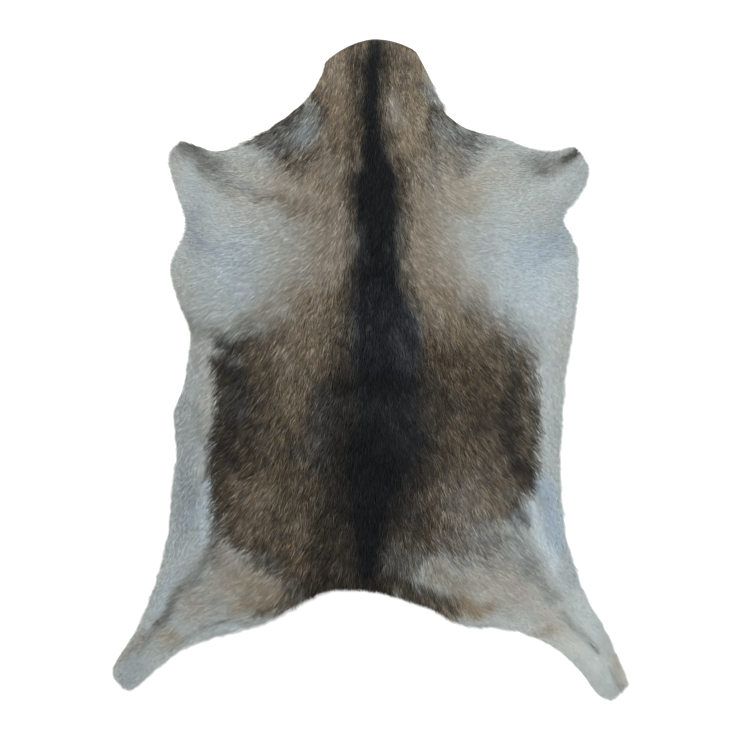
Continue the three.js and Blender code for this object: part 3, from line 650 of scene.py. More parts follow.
def cad_edge(height, step):
    """The hide's edge as even steps, cut from the solid above its rim locks."""
    mesh = bmesh.new()
    mesh.from_mesh(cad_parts[HIDE].data)
    bmesh.ops.remove_doubles(mesh, verts=mesh.verts, dist=WELD)
    everything = mesh.verts[:] + mesh.edges[:] + mesh.faces[:]
    cut = bmesh.ops.bisect_plane(mesh, geom=everything, plane_co=(0, 0, height), plane_no=(0, 0, 1))
    edges = [part for part in cut["geom_cut"] if isinstance(part, bmesh.types.BMEdge)]
    neighbours = {}
    for edge in edges:
        for here, there in (edge.verts, reversed(edge.verts)):
            neighbours.setdefault(here, []).append(there)
    before, here = None, edges[0].verts[0]
    loop = []
    while not loop or here is not edges[0].verts[0]:
        loop.append(here.co.xy.to_tuple())
        ahead = [vert for vert in neighbours[here] if vert is not before]
        before, here = here, ahead[0]
    mesh.free()
    points = np.array(loop + loop[:1])
    run = np.concatenate(([0], np.cumsum(np.linalg.norm(np.diff(points, axis=0), axis=1))))
    places = np.linspace(0, run[-1], round(run[-1] / step), endpoint=False)
    return np.stack([np.interp(places, run, points[:, axis]) for axis in (0, 1)], 1)


def edge_distance(points, edge):
    """How far each point is from the edge, more than 0 inside and less than 0 outside."""
    nearest = np.full(len(points), np.inf)
    crossings = np.zeros(len(points), int)
    for start, end in zip(edge, np.roll(edge, -1, axis=0)):
        run = end - start
        offset = points - start
        share = np.clip(offset @ run / (run @ run), 0, 1)
        nearest = np.minimum(nearest, np.linalg.norm(offset - share[:, None] * run, axis=1))
        level = (start[1] > points[:, 1]) != (end[1] > points[:, 1])
        slope = run[0] / run[1] if run[1] else 0.0
        crossings += level & (offset[:, 0] < offset[:, 1] * slope)
    return np.where(crossings % 2 == 1, nearest, -nearest)


def hair_run(points):
    """The hair's direction, length and lift at each point, blended from its table."""
    rows = [row[1:] for row in HAIR_RUN]
    rows += [(-across, along, -lean, length, lift) for across, along, lean, length, lift in rows if across]
    table = np.array(rows, float)
    apart = points[:, None] / MM - table[None, :, :2]
    weights = np.exp(-0.5 * (apart ** 2).sum(2) / RUN_BLEND ** 2) + 1e-12
    weights /= weights.sum(1, keepdims=True)
    lean = np.radians(table[:, 2])
    comb = weights @ np.stack([np.sin(lean), -np.cos(lean)], 1)
    comb /= np.linalg.norm(comb, axis=1, keepdims=True)
    return comb, weights @ table[:, 3] * MM, np.radians(weights @ table[:, 4])


def wander(points):
    """The points in millimetres, moved to and fro in short waves so that painted borders aren't even."""
    across, along = points.T / MM
    sideways = 2 * np.sin(across / 17 + 1.3 * np.sin(along / 23)) + 1.5 * np.sin(along / 9 + across / 31)
    lengthways = 4 * np.sin(along / 19 + 1.7 * np.sin(across / 15)) + 3 * np.sin(across / 7 - along / 27)
    return np.stack([across + sideways, along + lengthways], 1)


def painted_coat(points, tones):
    """The coat's colour at each point, painted shade and sheen included, with the hairs' ticking as the
    fourth value.
    """
    inks = {name: np.array((*getattr(tones, name), TICKING[name])) for name in TICKING}
    inks = {name: np.append(ink[:3] ** (1 / DISPLAY_GAMMA), ink[3]) for name, ink in inks.items()}
    places = wander(points)
    coat = np.tile(inks["pale"], (len(points), 1))
    for _, start, end, width, end_width, softness, ink, strength in MARKINGS:
        run = np.subtract(end, start)
        offset = places - start
        share = np.clip(offset @ run / (run @ run), 0, 1)
        apart = np.linalg.norm(offset - share[:, None] * run, axis=1)
        reach = width + (end_width - width) * share
        softness *= 1 + BORDER_SPREAD * (1 - 2 * inks[ink][3])
        cover = strength * smooth((reach + softness - apart) / (2 * softness))
        coat += (inks[ink] - coat) * cover[:, None]
    coat[:, :3] **= DISPLAY_GAMMA
    return coat


def ragged(points):
    """How far the hair reaches past the edge at each point, as a share that differs from lock to lock."""
    across, along = points.T / MM
    locks = np.sin(across / 5 + 2 * np.sin(along / 7)) * np.sin(along / 6 + 1.5 * np.sin(across / 9))
    return 1 + 0.5 * locks


def trimmed(points, comb, length, edge, overhang, least):
    """Hair lengths cut back where the tips would reach too far past the edge."""
    kept = np.full(len(points), least)
    for share in TRIM_SHARES:
        tips = points + comb * (share * length)[:, None]
        near = edge_distance(tips, edge) > -overhang
        kept = np.where(near, np.maximum(kept, share * length), kept)
    return kept


@lru_cache
def hide_surface(step):
    """The skin's upper face as an open mesh that carries the coat's run, length and colour."""
    skin, hair = bpy.context.scene.goat_skin, bpy.context.scene.goat_hair
    edge = cad_edge(skin.slice_height, step)
    low, high = edge.min(0), edge.max(0)
    rows = np.arange(low[1], high[1], step * math.sqrt(3) / 2)
    columns = np.arange(low[0], high[0], step)
    grid = [(x + step / 2 * (row % 2), y) for row, y in enumerate(rows) for x in columns]
    grid = np.array(grid)
    grid = grid[edge_distance(grid, edge) > EDGE_CLEARANCE * step]
    flat = [Vector(place) for place in np.concatenate((edge, grid))]
    ring = [(index, (index + 1) % len(edge)) for index in range(len(edge))]
    flat, _, faces, *_ = delaunay_2d_cdt(flat, ring, [], 1, WELD)
    points = np.array([place[:] for place in flat])

    solid = BVHTree.FromPolygons(*solid_shape())
    above = CAD_BOX[1].z + skin.thickness
    tops = [solid.ray_cast(Vector((x, y, above)), Vector((0, 0, -1)))[0] for x, y in points]
    rise = np.array([top.z - skin.slice_height if top else 0.0 for top in tops])
    heights = skin.thickness + skin.swell * np.maximum(rise, 0)

    mesh = bpy.data.meshes.new("hide_surface")
    mesh.from_pydata(np.column_stack((points, heights)).tolist(), [], [list(face) for face in faces])
    comb, length, lift = hair_run(points)
    inside = np.maximum(edge_distance(points, edge), 0)
    length = trimmed(points, comb, length, edge, hair.overhang * ragged(points), hair.least_length)
    rim = 1 - smooth(inside / hair.rim_depth)
    tones = bpy.context.scene.goat_tones
    coat = painted_coat(points, tones)
    nearby = [points + MIXING * np.array(offset) for offset in ((0, 0), (1, 0), (-1, 0), (0, 1), (0, -1))]
    mixing = np.max([painted_coat(places, tones)[:, 3] for places in nearby], 0)
    level = np.zeros((len(points), 1))
    carry(mesh, "comb", "FLOAT_VECTOR", "vector", np.hstack((comb, level)))
    body = SHORT_DENSITY - DENSITY_LOSS * length / LONG_HAIR
    amounts = {"reach": length, "lift": lift, "rim": rim, "body": body, "mixing": mixing}
    for name, values in amounts.items():
        carry(mesh, name, "FLOAT", "value", values)
    carry(mesh, "coat", "FLOAT_COLOR", "color", coat)
    return mesh


def solid_shape():
    """The solid's points and faces."""
    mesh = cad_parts[HIDE].data
    return [vert.co for vert in mesh.vertices], [face.vertices[:] for face in mesh.polygons]


def carry(mesh, name, kind, field, values):
    """Stores values on the points of a mesh."""
    layer = mesh.attributes.new(name, kind, "POINT")
    layer.data.foreach_set(field, np.asarray(values, np.float32).ravel())


# Materials


def new_group(name, kind, inputs, outputs):
    """A node group with named inputs and outputs."""
    tree = bpy.data.node_groups.new(name, kind)
    for way, sockets in (("INPUT", inputs), ("OUTPUT", outputs)):
        for socket, value in sockets.items():
            tree.interface.new_socket(name=socket, in_out=way, socket_type=f"NodeSocket{value}")
    return tree


@lru_cache
def strand_tint():
    """A shader group that tells single strands apart: darker roots, partly the hair's own banding and partly
    painted shade deep in the coat; lighter tips; dark ticking.
    """
    amounts = ("Ticking", "Tone", "Along", "Root Shade", "Tip Light")
    inputs = {"Coat": "Color", **dict.fromkeys(amounts, "Float")}
    tree = new_group("strand tint", "ShaderNodeTree", inputs, {"Colour": "Color", "Roughness": "Float"})
    given = node(tree, "NodeGroupInput").outputs
    centred = sum_of(tree, "MULTIPLY_ADD", given["Tone"], 2.0, -1.0)
    spread = sum_of(tree, "MULTIPLY", centred, given["Ticking"])
    lightness = sum_of(tree, "POWER", TONE_BASE, spread)
    shuffled = sum_of(tree, "FRACT", sum_of(tree, "MULTIPLY", given["Tone"], SHUFFLE))
    # Painted shade at the root, deep in the coat, deepest where the hairs are ticked.
    shade = sum_of(tree, "MULTIPLY", sum_of(tree, "SUBTRACT", given["Root Shade"], 1.0), given["Ticking"])
    root = ramp(tree, given["Along"], *ROOT_PART, sum_of(tree, "ADD", shade, 1.0), 1.0)
    glow = sum_of(tree, "MULTIPLY", sum_of(tree, "SUBTRACT", given["Tip Light"], 1.0), given["Ticking"])
    tip = ramp(tree, given["Along"], *TIP_PART, 1.0, sum_of(tree, "ADD", glow, 1.0))
    dark_tip = sum_of(tree, "MULTIPLY", sum_of(tree, "GREATER_THAN", shuffled, PLAIN_TIPS), given["Ticking"])
    banded = ramp(tree, given["Along"], *BAND_PART, 0.0, BAND_DEPTH)
    band = sum_of(tree, "SUBTRACT", 1.0, sum_of(tree, "MULTIPLY", dark_tip, banded))
    factor = sum_of(tree, "MULTIPLY", lightness, sum_of(tree, "MULTIPLY", root, tip))
    factor = sum_of(tree, "MULTIPLY", factor, band)
    colour = tinted(tree, given["Coat"], factor)
    warmth = sum_of(tree, "MULTIPLY", sum_of(tree, "SUBTRACT", shuffled, 0.5), given["Ticking"])
    warmth = sum_of(tree, "MULTIPLY_ADD", warmth, SATURATION_SPREAD, MEAN_SATURATION)
    varied = node(tree, "ShaderNodeHueSaturation", {"Color": colour, "Saturation": warmth})
    roughness = sum_of(tree, "MULTIPLY_ADD", shuffled, ROUGHNESS_SPREAD, LEAST_ROUGHNESS)
    node(tree, "NodeGroupOutput", {"Colour": varied.outputs[0], "Roughness": roughness})
    return tree


@lru_cache
def mottle():
    """A shader group that mottles a colour with soft patches and fine grain."""
    inputs = {"Colour": "Color", **dict.fromkeys(("Patch Scale", "Grain Scale", "Depth"), "Float")}
    tree = new_group("mottle", "ShaderNodeTree", inputs, {"Colour": "Color", "Grain": "Float"})
    given = node(tree, "NodeGroupInput").outputs
    place = node(tree, "ShaderNodeTexCoord").outputs["Object"]
    patches = node(tree, "ShaderNodeTexNoise", {"Vector": place, "Scale": given["Patch Scale"]})
    grain = node(tree, "ShaderNodeTexNoise", {
        "Vector": place, "Scale": given["Grain Scale"], "Detail": 4.0,
    })
    both = sum_of(tree, "ADD", patches.outputs["Fac"], grain.outputs["Fac"])
    shift = sum_of(tree, "MULTIPLY", sum_of(tree, "SUBTRACT", both, 1.0), given["Depth"])
    colour = tinted(tree, given["Colour"], sum_of(tree, "ADD", shift, 1.0))
    node(tree, "NodeGroupOutput", {"Colour": colour, "Grain": grain.outputs["Fac"]})
    return tree


def new_material(name):
    """A node material, and its tree and Principled shader."""
    material = bpy.data.materials.new(name)
    material.use_nodes = True
    return material, material.node_tree, material.node_tree.nodes["Principled BSDF"]


def carried(tree, name):
    """The outputs of an attribute that the mesh carries."""
    return node(tree, "ShaderNodeAttribute", attribute_name=name).outputs


def hair_material(name, root_shade, tip_light):
    """Goat hair in the coat's painted colours, painted shade and sheen among them."""
    material, tree, shader = new_material(name)
    coat = carried(tree, "coat")
    tint = node(tree, "ShaderNodeGroup", {
        "Coat": coat["Color"], "Ticking": coat["Alpha"],
        "Tone": carried(tree, "tone")["Fac"], "Along": carried(tree, "along")["Fac"],
        "Root Shade": root_shade, "Tip Light": tip_light,
    }, node_tree=strand_tint())
    tree.links.new(tint.outputs["Colour"], shader.inputs["Base Color"])
    tree.links.new(tint.outputs["Roughness"], shader.inputs["Roughness"])
    shader.inputs["Specular IOR Level"].default_value = HAIR_SPECULAR
    return material


def mottled_material(name, colour, patch_scale, grain_scale, depth, roughness):
    """A matt material of one colour, or of a colour that its tree makes, with patches and grain."""
    material, tree, shader = new_material(name)
    spots = node(tree, "ShaderNodeGroup", {
        "Colour": colour(tree) if callable(colour) else colour,
        "Patch Scale": patch_scale, "Grain Scale": grain_scale, "Depth": depth,
    }, node_tree=mottle())
    tree.links.new(spots.outputs["Colour"], shader.inputs["Base Color"])
    shader.inputs["Roughness"].default_value = roughness
    return material, tree, shader, spots


def shaded_skin_colour(tree):
    """The coat's colour, with painted light under pale hair and painted shade under mottled hair."""
    coat = carried(tree, "coat")
    return tinted(tree, coat["Color"], ramp(tree, coat["Alpha"], *SKIN_TICKING, PALE_SKIN_LIGHT, MOTTLED_SKIN_SHADE))


def skin_material():
    """The hair side of the skin, seen between the strands, with painted shade and painted light in its
    colour.
    """
    return mottled_material("skin under the hair", shaded_skin_colour, 60.0, 900.0, 0.2, 0.8)[0]


def suede_material():
    """The flesh side of the skin: cream suede with a soft nap."""
    material, tree, shader, spots = mottled_material("suede underside", SUEDE, 14.0, 700.0, 0.35, 0.95)
    bump = node(tree, "ShaderNodeBump", {
        "Height": spots.outputs["Grain"], "Strength": 0.4, "Distance": 0.4 * MM,
    })
    tree.links.new(bump.outputs["Normal"], shader.inputs["Normal"])
    return material


def floor_material(colour):
    """A plain pale floor."""
    return mottled_material("pale floor", (*colour, 1), 2.0, 300.0, 0.02, 0.7)[0]


# Hair as Geometry Nodes


def named(tree, name, kind):
    """A named attribute of the geometry."""
    return node(tree, "GeometryNodeInputNamedAttribute", {"Name": name}, data_type=kind).outputs[0]


def ticking(tree):
    """How much hairs differ from each other, which the coat's colour carries as its fourth value."""
    coat = named(tree, "coat", "FLOAT_COLOR")
    return node(tree, "FunctionNodeSeparateColor", {0: coat}).outputs["Alpha"]


def chance(tree, limits, seed, draw):
    """A random value between limits for each strand."""
    inputs = {2: limits[0], 3: limits[1], "Seed": sum_of(tree, "ADD", seed, draw)}
    return node(tree, "FunctionNodeRandomValue", inputs, data_type="FLOAT").outputs[1]


def chosen(tree, value):
    """Whether a value is 0 or more."""
    inputs = {0: value, 1: 0.0}
    settings = {"data_type": "FLOAT", "operation": "GREATER_EQUAL"}
    return node(tree, "FunctionNodeCompare", inputs, **settings).outputs[0]


def stored(tree, points, kind, name, value):
    """The points with one more named attribute."""
    inputs = {"Geometry": points, "Name": name, "Value": value}
    settings = {"data_type": kind, "domain": "POINT"}
    return node(tree, "GeometryNodeStoreNamedAttribute", inputs, **settings).outputs[0]


def strand_shape(tree):
    """One strand of unit length: a closed sliver along X, with its widest place bowed upwards."""
    cone = node(tree, "GeometryNodeMeshCone", {
        "Vertices": 3, "Radius Top": 0.0, "Radius Bottom": 1.0, "Depth": 1.0,
    }, fill_type="NGON")
    place = node(tree, "GeometryNodeInputPosition").outputs[0]
    back, side, end = node(tree, "ShaderNodeSeparateXYZ", {0: place}).outputs
    corner = sum_of(tree, "MULTIPLY", sum_of(tree, "SUBTRACT", 1.0, back), WIDEST / 1.5)
    along = sum_of(tree, "MULTIPLY_ADD", end, sum_of(tree, "SUBTRACT", 1.0, corner), corner)
    arch = sum_of(tree, "MULTIPLY", along, sum_of(tree, "SUBTRACT", 1.0, along))
    height = sum_of(tree, "MULTIPLY", arch, 4.0 * STRAND_BOW)
    across = sum_of(tree, "MULTIPLY", side, 1 / math.sqrt(3))
    shaped = node(tree, "ShaderNodeCombineXYZ", {0: along, 1: across, 2: height})
    kept = stored(tree, cone.outputs["Mesh"], "FLOAT", "along", along)
    moved = node(tree, "GeometryNodeSetPosition", {"Geometry": kept, "Position": shaped.outputs[0]})
    return moved.outputs[0]


def turned_about(tree, vector, angle):
    """A vector turned about the upright axis."""
    inputs = {"Vector": vector, "Angle": angle}
    return node(tree, "ShaderNodeVectorRotate", inputs, rotation_type="Z_AXIS").outputs[0]


def streaks(tree, place, comb, scale, detail):
    """Noise about 0 in streaks along the hair's run, blended from a few fixed directions."""
    total, power = 0.0, 0.0
    for turn in range(STREAK_TURNS):
        angle = math.pi * turn / STREAK_TURNS
        heading = (math.cos(angle), math.sin(angle), 0)
        agreement = node(tree, "ShaderNodeVectorMath", {0: comb, 1: heading}, operation="DOT_PRODUCT")
        squared = sum_of(tree, "MULTIPLY", agreement.outputs["Value"], agreement.outputs["Value"])
        weight = sum_of(tree, "POWER", squared, STREAK_STEEPNESS)
        drawn = node(tree, "ShaderNodeVectorMath", {
            0: turned_about(tree, place, -angle), 1: (STREAK_SQUEEZE, 1, 1),
        }, operation="MULTIPLY")
        grain = node(tree, "ShaderNodeTexNoise", {
            "Vector": drawn.outputs[0], "Scale": scale, "Detail": detail,
        })
        centred = sum_of(tree, "SUBTRACT", grain.outputs["Fac"], 0.5)
        total = sum_of(tree, "MULTIPLY_ADD", centred, weight, total)
        power = sum_of(tree, "MULTIPLY_ADD", weight, weight, power)
    return sum_of(tree, "DIVIDE", total, sum_of(tree, "SQRT", power))


HAIR_INPUTS = {
    "Geometry": "Geometry", "Cover": "String", "Side": "Float", "End": "Float", "Density": "Float",
    "Width": "Float", "Length Share": "Float", "Extra Lift": "Float", "Stray": "Float",
    "Clump": "Float", "Seed": "Int", "Material": "Material",
}


@lru_cache
def combed_hair():
    """The tree that grows strands over the hide, combed along its run."""
    tree = new_group("combed hair", "GeometryNodeTree", HAIR_INPUTS, {"Geometry": "Geometry"})
    given = node(tree, "NodeGroupInput").outputs
    seed = given["Seed"]

    place = node(tree, "GeometryNodeInputPosition").outputs[0]
    across, along, _ = node(tree, "ShaderNodeSeparateXYZ", {0: place}).outputs
    own_side = chosen(tree, sum_of(tree, "MULTIPLY", across, given["Side"]))
    own_end = chosen(tree, sum_of(tree, "MULTIPLY", along, given["End"]))
    quarter = node(tree, "FunctionNodeBooleanMath", {0: own_side, 1: own_end}, operation="AND")
    cover = node(tree, "GeometryNodeInputNamedAttribute", {"Name": given["Cover"]}, data_type="FLOAT")
    roots = node(tree, "GeometryNodeDistributePointsOnFaces", {
        "Mesh": given["Geometry"], "Selection": quarter.outputs[0],
        "Density": sum_of(tree, "MULTIPLY", cover.outputs[0], given["Density"]), "Seed": seed,
    }, distribute_method="RANDOM")

    reach = named(tree, "reach", "FLOAT")
    length = sum_of(tree, "MULTIPLY", reach, given["Length Share"])
    length = sum_of(tree, "MULTIPLY", length, chance(tree, LENGTH_RANGE, seed, LENGTH_DRAW))
    fineness = sum_of(tree, "MULTIPLY_ADD", reach, (1 - SHORT_WIDTH) / LONG_HAIR, SHORT_WIDTH)
    width = sum_of(tree, "MULTIPLY", given["Width"], chance(tree, WIDTH_RANGE, seed, WIDTH_DRAW))
    width = sum_of(tree, "MULTIPLY", width, fineness)
    freedom = named(tree, "mixing", "FLOAT")
    width = sum_of(tree, "MULTIPLY", width, ramp(tree, freedom, *SLEEK_TICKING, SLEEK_WIDTH, 1.0))
    size = node(tree, "ShaderNodeCombineXYZ", {0: length, 1: width, 2: length})

    tuft = node(tree, "ShaderNodeTexNoise", {"Vector": place, "Scale": TUFT_SCALE, "Detail": 1.0})
    drift = node(tree, "ShaderNodeTexNoise", {"Vector": place, "Scale": DRIFT_SCALE, "Detail": 1.0})
    sway = sum_of(tree, "ADD", tuft.outputs["Fac"], drift.outputs["Fac"])
    sway = sum_of(tree, "MULTIPLY", sum_of(tree, "SUBTRACT", sway, 1.0), given["Clump"])
    sway = sum_of(tree, "MULTIPLY", sway, sum_of(tree, "DIVIDE", reach, LONG_HAIR))
    sleekness = ramp(tree, freedom, *SLEEK_TICKING, SLEEK_STRAY, 1.0)
    stray = sum_of(tree, "MULTIPLY", chance(tree, (-1.0, 1.0), seed, STRAY_DRAW), given["Stray"])
    stray = sum_of(tree, "MULTIPLY", stray, sleekness)
    comb = named(tree, "comb", "FLOAT_VECTOR")
    turned = turned_about(tree, comb, sum_of(tree, "ADD", sway, stray))
    lift = sum_of(tree, "ADD", named(tree, "lift", "FLOAT"), given["Extra Lift"])
    lift = sum_of(tree, "MULTIPLY", lift, chance(tree, LIFT_RANGE, seed, LIFT_DRAW))
    upwards = node(tree, "ShaderNodeCombineXYZ", {2: sum_of(tree, "TANGENT", lift)})
    heading = node(tree, "ShaderNodeVectorMath", {0: turned, 1: upwards.outputs[0]}, operation="ADD")
    facing = node(tree, "FunctionNodeAxesToRotation", {
        "Primary Axis": heading.outputs[0], "Secondary Axis": (0, 0, 1),
    }, primary_axis="X", secondary_axis="Z")

    points = roots.outputs["Points"]
    locks = streaks(tree, place, comb, LOCK_SCALE, 1.0)
    own_mixing = chance(tree, (-MIXING, MIXING), seed, MIXING_DRAW)
    ahead = sum_of(tree, "MULTIPLY_ADD", locks, LOCK_MIXING, own_mixing)
    ahead = sum_of(tree, "MULTIPLY", ahead, freedom)
    ahead = sum_of(tree, "MULTIPLY_ADD", length, SHOWN_SHARE, ahead)
    aside = sum_of(tree, "MULTIPLY", chance(tree, (-SWING, SWING), seed, SWING_DRAW), freedom)
    shown = node(tree, "ShaderNodeVectorMath", {
        0: turned_about(tree, turned, aside), 1: ahead, 2: place,
    }, operation="MULTIPLY_ADD")
    dyed = node(tree, "GeometryNodeSampleNearestSurface", {
        "Mesh": given["Geometry"], "Value": named(tree, "coat", "FLOAT_COLOR"),
        "Sample Position": shown.outputs[0],
    }, data_type="FLOAT_COLOR")
    patches = node(tree, "ShaderNodeTexNoise", {"Vector": place, "Scale": PATCH_SCALE, "Detail": 2.0})
    streak = streaks(tree, place, comb, STREAK_SCALE, 2.0)
    tone_shift = sum_of(tree, "MULTIPLY_ADD", streak, STREAK_TONE, -PATCH_TONE / 2)
    tone_shift = sum_of(tree, "MULTIPLY_ADD", patches.outputs["Fac"], PATCH_TONE, tone_shift)
    own_tone = chance(tree, (0.0, 1.0), seed, TONE_DRAW)
    strand_tone = sum_of(tree, "MULTIPLY_ADD", own_tone, OWN_TONE, (1 - OWN_TONE) / 2)
    strand_tone = sum_of(tree, "ADD", strand_tone, tone_shift)
    contrast = sum_of(tree, "POWER", sum_of(tree, "DIVIDE", LONG_HAIR, reach), CONTRAST_POWER)
    contrast = sum_of(tree, "MINIMUM", contrast, MOST_CONTRAST)
    centred = sum_of(tree, "SUBTRACT", strand_tone, 0.5)
    strand_tone = sum_of(tree, "MULTIPLY_ADD", centred, contrast, 0.5)
    strand_tone = sum_of(tree, "MINIMUM", strand_tone, LIGHTEST_TONE)
    points = stored(tree, points, "FLOAT_COLOR", "coat", dyed.outputs[0])
    points = stored(tree, points, "FLOAT", "tone", strand_tone)
    points = stored(tree, points, "FLOAT_VECTOR", "ground", roots.outputs["Normal"])

    strands = node(tree, "GeometryNodeInstanceOnPoints", {
        "Points": points, "Instance": strand_shape(tree),
        "Rotation": facing.outputs[0], "Scale": size.outputs[0],
    })
    joined = node(tree, "GeometryNodeRealizeInstances", {"Geometry": strands.outputs[0]})
    rounded = node(tree, "GeometryNodeSetShadeSmooth", {
        "Geometry": joined.outputs[0], "Shade Smooth": True,
    })
    softened = node(tree, "ShaderNodeMix", {
        0: ramp(tree, ticking(tree), *SOFT_TICKING, PALE_SOFTNESS, MOTTLED_SOFTNESS),
        4: node(tree, "GeometryNodeInputNormal").outputs[0],
        5: named(tree, "ground", "FLOAT_VECTOR"),
    }, data_type="VECTOR")
    lit = node(tree, "GeometryNodeSetMeshNormal", mode="FREE", domain="POINT")
    tree.links.new(rounded.outputs[0], lit.inputs["Mesh"])
    tree.links.new(softened.outputs[1], lit.inputs["Custom Normal"])
    dressed = node(tree, "GeometryNodeSetMaterial", {
        "Geometry": lit.outputs[0], "Material": given["Material"],
    })
    node(tree, "NodeGroupOutput", {"Geometry": dressed.outputs[0]})
    return tree


def evaluated(piece):
    """Turns what the piece's modifiers make into its own plain mesh."""
    bpy.context.view_layer.update()
    view = bpy.context.evaluated_depsgraph_get()
    shown = piece.evaluated_get(view)
    made = bpy.data.meshes.new_from_object(shown, preserve_all_data_layers=True, depsgraph=view)
    piece.modifiers.clear()
    piece.data = made
    made.name = piece.name


def new_piece(name, mesh):
    """A new object at the origin, shown in the scene."""
    piece = bpy.data.objects.new(name, mesh)
    bpy.context.scene.collection.objects.link(piece)
    return piece


def lay_out_strands(mesh):
    """Gives each strand its own cell of the bake map, with neighbours side by side."""
    corners = np.empty(len(mesh.loops), np.int32)
    mesh.loops.foreach_get("vertex_index", corners)
    places = np.empty(len(mesh.vertices) * 3, np.float32)
    mesh.vertices.foreach_get("co", places)
    along = np.empty(len(mesh.vertices), np.float32)
    mesh.attributes["along"].data.foreach_get("value", along)
    roots = places.reshape(-1, STRAND_POINTS, 3).mean(1)
    count = len(roots)
    side = math.ceil(math.sqrt(count))
    row = np.empty(count, int)
    row[np.argsort(roots[:, 1], kind="stable")] = np.arange(count) // side
    order = np.lexsort((roots[:, 0], row))
    cell = np.empty((count, 2))
    cell[order, 0] = np.arange(count) % side
    cell[order, 1] = np.arange(count) // side
    owner, spot = corners // STRAND_POINTS, corners % STRAND_POINTS
    across = np.array((0.5, 0.5, 1 - CELL_MARGIN, CELL_MARGIN))[spot]
    local = np.stack((across, CELL_MARGIN + (1 - 2 * CELL_MARGIN) * along[corners]), 1)
    layer = mesh.uv_layers.new(name="OFBake")
    layer.uv.foreach_set("vector", ((cell[owner] + local) / side).astype(np.float32).ravel())


def grow_hair(name, **inputs):
    """One piece of the coat, grown over the hide's surface."""
    piece = new_piece(name, hide_surface(bpy.context.scene.goat_skin.paint_step).copy())
    tree = combed_hair()
    grown = piece.modifiers.new("combed hair", "NODES")
    grown.node_group = tree
    sockets = {item.name: item.identifier for item in tree.interface.items_tree if item.in_out == "INPUT"}
    for socket, value in inputs.items():
        grown[sockets[socket]] = value
    evaluated(piece)
    lay_out_strands(piece.data)
    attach(piece, "root")
    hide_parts(HIDE)
    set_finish(piece, "coat")
    return piece


SIDES = (("left", -1.0), ("right", 1.0))
ENDS = (("fore", 1.0), ("hind", -1.0))
BOTH = 0.0
# Each piece of the coat counts its random seeds from its own place.
TOPCOAT_SEED = 10
RIM_SEED = 20


# The pieces


class GOATSKIN_OT_undercoat(Operator):
    """Grow the short dense hair next to the skin"""

    bl_idname = "goatskin.undercoat"
    bl_label = "Undercoat"

    def execute(self, context):
        hair = context.scene.goat_hair
        material = hair_material("undercoat hair", root_shade=0.6, tip_light=1.0)
        for index, (side, sign) in enumerate(SIDES):
            grow_hair(f"undercoat_{side}", **{
                "Cover": "body", "Side": sign, "End": BOTH, "Density": hair.undercoat_density,
                "Width": hair.undercoat_width, "Length Share": 0.65,
                "Extra Lift": math.radians(3), "Stray": math.radians(16),
                "Clump": math.radians(50), "Seed": hair.seed + index, "Material": material,
            })
        return {"FINISHED"}


class GOATSKIN_OT_topcoat(Operator):
    """Grow the long guard hair that shows"""

    bl_idname = "goatskin.topcoat"
    bl_label = "Topcoat"

    def execute(self, context):
        hair = context.scene.goat_hair
        material = hair_material("topcoat hair", root_shade=0.7, tip_light=1.1)
        quarters = [(side, end) for side in SIDES for end in ENDS]
        for index, ((side, side_sign), (end, end_sign)) in enumerate(quarters):
            grow_hair(f"topcoat_{end}_{side}", **{
                "Cover": "body", "Side": side_sign, "End": end_sign, "Density": hair.topcoat_density,
                "Width": hair.topcoat_width, "Length Share": 0.86,
                "Extra Lift": 0.0, "Stray": math.radians(12),
                "Clump": math.radians(70), "Seed": hair.seed + TOPCOAT_SEED + index, "Material": material,
            })
        return {"FINISHED"}


class GOATSKIN_OT_rim(Operator):
    """Grow the short hair that covers the skin's edge"""

    bl_idname = "goatskin.rim"
    bl_label = "Rim hair"

    def execute(self, context):
        hair = context.scene.goat_hair
        material = hair_material("rim hair", root_shade=0.7, tip_light=1.05)
        grow_hair("rim_hair", **{
            "Cover": "rim", "Side": BOTH, "End": BOTH, "Density": hair.rim_density,
            "Width": hair.rim_width, "Length Share": 0.9,
            "Extra Lift": math.radians(-3), "Stray": math.radians(18),
            "Clump": math.radians(50), "Seed": hair.seed + RIM_SEED, "Material": material,
        })
        return {"FINISHED"}


class GOATSKIN_OT_skin(Operator):
    """Lay out the tanned skin"""

    bl_idname = "goatskin.skin"
    bl_label = "Skin"

    def execute(self, context):
        skin = context.scene.goat_skin
        sheet = new_piece("skin", hide_surface(skin.step).copy())
        sheet.data.materials.append(skin_material())
        sheet.data.materials.append(suede_material())
        wall = sheet.modifiers.new("thickness", "SOLIDIFY")
        wall.thickness = skin.thickness
        wall.offset = -1
        wall.material_offset = 1
        wall.material_offset_rim = 1
        evaluated(sheet)
        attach(sheet, "root")
        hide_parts(HIDE)
        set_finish(sheet, "skin")
        area = sum(face.area for face in hide_surface(skin.step).polygons)
        return {"FINISHED"}


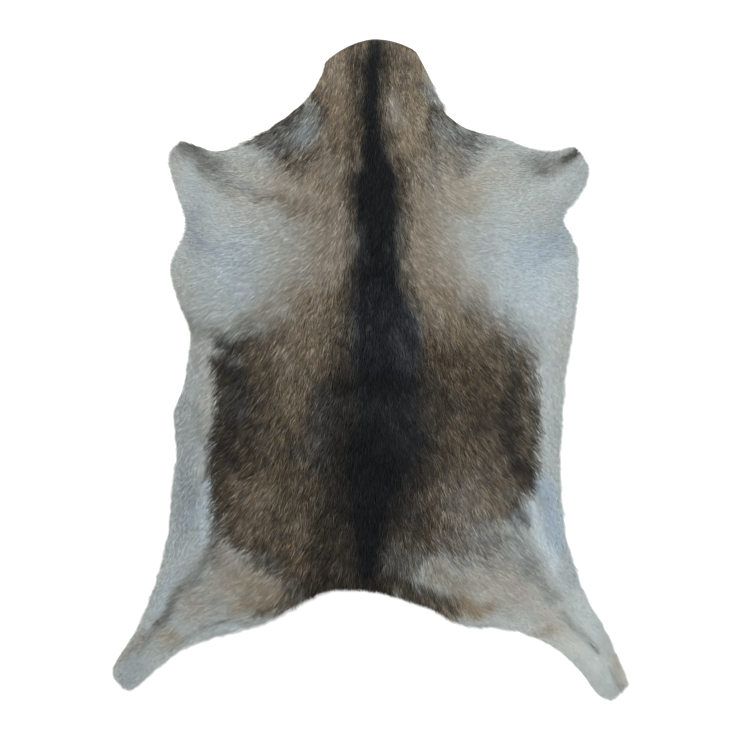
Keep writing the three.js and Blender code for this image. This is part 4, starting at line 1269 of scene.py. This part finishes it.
class GOATSKIN_OT_stage(Operator):
    """Set the floor, the soft lights and the camera straight above"""

    bl_idname = "goatskin.stage"
    bl_label = "Stage"

    def execute(self, context):
        stage = context.scene.goat_stage
        bpy.ops.mesh.primitive_circle_add(vertices=FLOOR_SIDES, radius=stage.floor_radius, fill_type="NGON")
        floor = context.object
        floor.name = "floor"
        floor.data.materials.append(floor_material(stage.floor_colour))

        world = bpy.data.worlds.new("studio")
        world.use_nodes = True
        sky = world.node_tree.nodes["Background"].inputs
        sky["Color"].default_value = SKY_COLOUR
        sky["Strength"].default_value = stage.sky
        context.scene.world = world
        lamp("key", stage.key_power)
        lamp("fill", stage.fill_power)

        camera = bpy.data.cameras.new("camera")
        camera.sensor_width = SENSOR_WIDTH
        shown = PHOTO_PIXELS * stage.pixel_size
        camera.lens = camera.sensor_width * stage.camera_height / shown
        eye = bpy.data.objects.new("camera", camera)
        eye.location = (0, 0, stage.camera_height)
        context.scene.collection.objects.link(eye)
        context.scene.camera = eye
        context.scene.view_settings.view_transform = "Standard"
        return {"FINISHED"}


def lamp(name, power):
    """A large square light that faces the rug."""
    place, size, colour = LAMPS[name]
    light = bpy.data.lights.new(name, "AREA")
    light.size = size
    light.energy = power
    light.color = colour
    holder = bpy.data.objects.new(name, light)
    holder.location = place
    holder.rotation_euler = (-Vector(place)).to_track_quat("-Z", "Y").to_euler()
    bpy.context.scene.collection.objects.link(holder)


class GOATSKIN_PT_panel(Panel):
    """The rug's pieces in the order in which they are made"""

    bl_label = "Goatskin rug"
    bl_idname = "GOATSKIN_PT_panel"
    bl_space_type = "VIEW_3D"
    bl_region_type = "UI"
    bl_category = "Goatskin"

    def draw(self, context):
        for group in ("goat_tones", "goat_skin", "goat_hair", "goat_stage"):
            box = self.layout.box()
            settings = getattr(context.scene, group)
            for name in settings.__annotations__:
                box.prop(settings, name)
        for operator in OPERATORS:
            self.layout.operator(operator.bl_idname)


OPERATORS = (
    GOATSKIN_OT_undercoat,
    GOATSKIN_OT_topcoat,
    GOATSKIN_OT_rim,
    GOATSKIN_OT_skin,
    GOATSKIN_OT_stage,
)
GROUPS = {
    "goat_tones": CoatTones,
    "goat_skin": SkinSizes,
    "goat_hair": HairSizes,
    "goat_stage": StageSizes,
}


def register():
    for group in GROUPS.values():
        bpy.utils.register_class(group)
    for name, group in GROUPS.items():
        setattr(bpy.types.Scene, name, PointerProperty(type=group))
    for operator in OPERATORS:
        bpy.utils.register_class(operator)
    bpy.utils.register_class(GOATSKIN_PT_panel)


def unregister():
    bpy.utils.unregister_class(GOATSKIN_PT_panel)
    for operator in reversed(OPERATORS):
        bpy.utils.unregister_class(operator)
    for name, group in reversed(GROUPS.items()):
        delattr(bpy.types.Scene, name)
        bpy.utils.unregister_class(group)


def main():
    register()
    bpy.ops.goatskin.undercoat()
    bpy.ops.goatskin.topcoat()
    bpy.ops.goatskin.rim()
    bpy.ops.goatskin.skin()
    bpy.ops.goatskin.stage()


if __name__ == "__main__":
    main()
